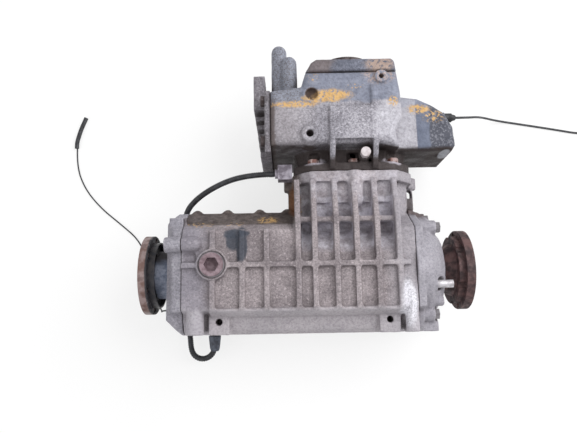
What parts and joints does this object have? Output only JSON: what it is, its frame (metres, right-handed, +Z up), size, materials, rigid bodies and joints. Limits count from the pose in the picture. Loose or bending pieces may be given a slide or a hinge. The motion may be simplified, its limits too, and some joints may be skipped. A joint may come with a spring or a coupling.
{
  "type": "rear differential",
  "caption": "Rear axle drive unit: ribbed cast case with output flanges, a bevel gear differential inside, and a coupling housing with an input flange on its neck.",
  "frame": {"origin": "on the ground, under the middle of the unit without its loose leads", "axes": "+X along the axle to the right output flange, +Y towards the input flange, +Z up as it lies"},
  "size_m": [0.87, 0.4499, 0.164],
  "materials": {
    "cast_case": "rough sand cast",
    "cast_housing": "rough sand cast",
    "rusty_forging": "rusty",
    "fastener_steel": "dull with rust",
    "black_plastic": "matte",
    "seal_rubber": "matte",
    "bearing_bronze": "machined",
    "shield_sheet": "greasy",
    "carrier_iron": "machined",
    "gear_steel": "ground"
  },
  "bodies": {
    "housing": {"breather_cap": "black_plastic", "carrier_bearing_outer_rings": "gear_steel", "coupling_housing": "cast_housing", "coupling_side_cover": "cast_housing", "drain_plug": "fastener_steel", "filler_plug": "fastener_steel", "filler_plug_washer": "bearing_bronze", "final_drive_case": "cast_case", "input_bearing": "gear_steel", "input_cover": "cast_housing", "input_cover_bolts": "fastener_steel", "input_seal": "seal_rubber", "left_cover_bolts": "fastener_steel", "left_end_cover": "cast_case", "left_lead": "black_plastic", "left_lead_gland": "black_plastic", "left_lead_sleeve": "black_plastic", "lower_sensor": "black_plastic", "neck_bolts": "fastener_steel", "neck_connector": "black_plastic", "pinion_bearing_outer_rings": "gear_steel", "right_cover_bolts": "fastener_steel", "right_cover_stud": "fastener_steel", "right_end_cover": "cast_case", "right_lead": "black_plastic", "right_lead_connector": "black_plastic", "right_plug": "black_plastic", "sensor_loom": "black_plastic", "shaft_bushes": "bearing_bronze", "shaft_seals": "seal_rubber", "side_cover_bolts": "fastener_steel"},
    "carrier": {"differential_carrier": "carrier_iron", "crown_wheel": "gear_steel", "crown_wheel_bolts": "fastener_steel", "cross_pin": "gear_steel", "carrier_bearing_inner_rings": "gear_steel", "side_gear_washers": "bearing_bronze", "pinion_washers": "bearing_bronze"},
    "left_output": {"left_output_flange": "rusty_forging", "left_dust_shield": "shield_sheet", "left_side_gear": "gear_steel"},
    "right_output": {"right_output_flange": "rusty_forging", "right_side_gear": "gear_steel"},
    "upper_spider": {"upper_differential_pinion": "gear_steel"},
    "lower_spider": {"lower_differential_pinion": "gear_steel"},
    "pinion": {"drive_pinion": "gear_steel", "pinion_bearing_inner_rings": "gear_steel", "pinion_spacer": "gear_steel", "pinion_nut": "gear_steel", "coupling_hub": "gear_steel", "inner_coupling_plates": "gear_steel"},
    "input": {"input_flange": "rusty_forging", "coupling_drum": "gear_steel", "coupling_drum_cover": "gear_steel", "outer_coupling_plates": "gear_steel"}
  },
  "joints": [
    {"name": "carrier_spin", "type": "hinge", "parent": "housing", "child": "carrier", "pos_m": [0.066, -0.1165, 0.085], "axis": [1, 0, 0], "continuous": true},
    {"name": "pinion_spin", "type": "hinge", "parent": "housing", "child": "pinion", "pos_m": [0.066, -0.1165, 0.085], "axis": [0, 1, 0], "continuous": true},
    {"name": "input_spin", "type": "hinge", "parent": "housing", "child": "input", "pos_m": [0.066, 0.1335, 0.085], "axis": [0, 1, 0], "continuous": true},
    {"name": "left_output_spin", "type": "hinge", "parent": "carrier", "child": "left_output", "pos_m": [0.066, -0.1165, 0.085], "axis": [1, 0, 0], "continuous": true},
    {"name": "right_output_spin", "type": "hinge", "parent": "carrier", "child": "right_output", "pos_m": [0.066, -0.1165, 0.085], "axis": [1, 0, 0], "continuous": true},
    {"name": "upper_spider_spin", "type": "hinge", "parent": "carrier", "child": "upper_spider", "pos_m": [0.066, -0.1165, 0.085], "axis": [0, 0, 1], "continuous": true},
    {"name": "lower_spider_spin", "type": "hinge", "parent": "carrier", "child": "lower_spider", "pos_m": [0.066, -0.1165, 0.085], "axis": [0, 0, 1], "continuous": true}
  ],
  "couplings": [
    {"joint": "pinion_spin", "follows": "carrier_spin", "ratio": -3.0769},
    {"joint": "right_output_spin", "follows": "left_output_spin", "ratio": -1},
    {"joint": "upper_spider_spin", "follows": "left_output_spin", "ratio": 1.4},
    {"joint": "lower_spider_spin", "follows": "left_output_spin", "ratio": -1.4}
  ]
}
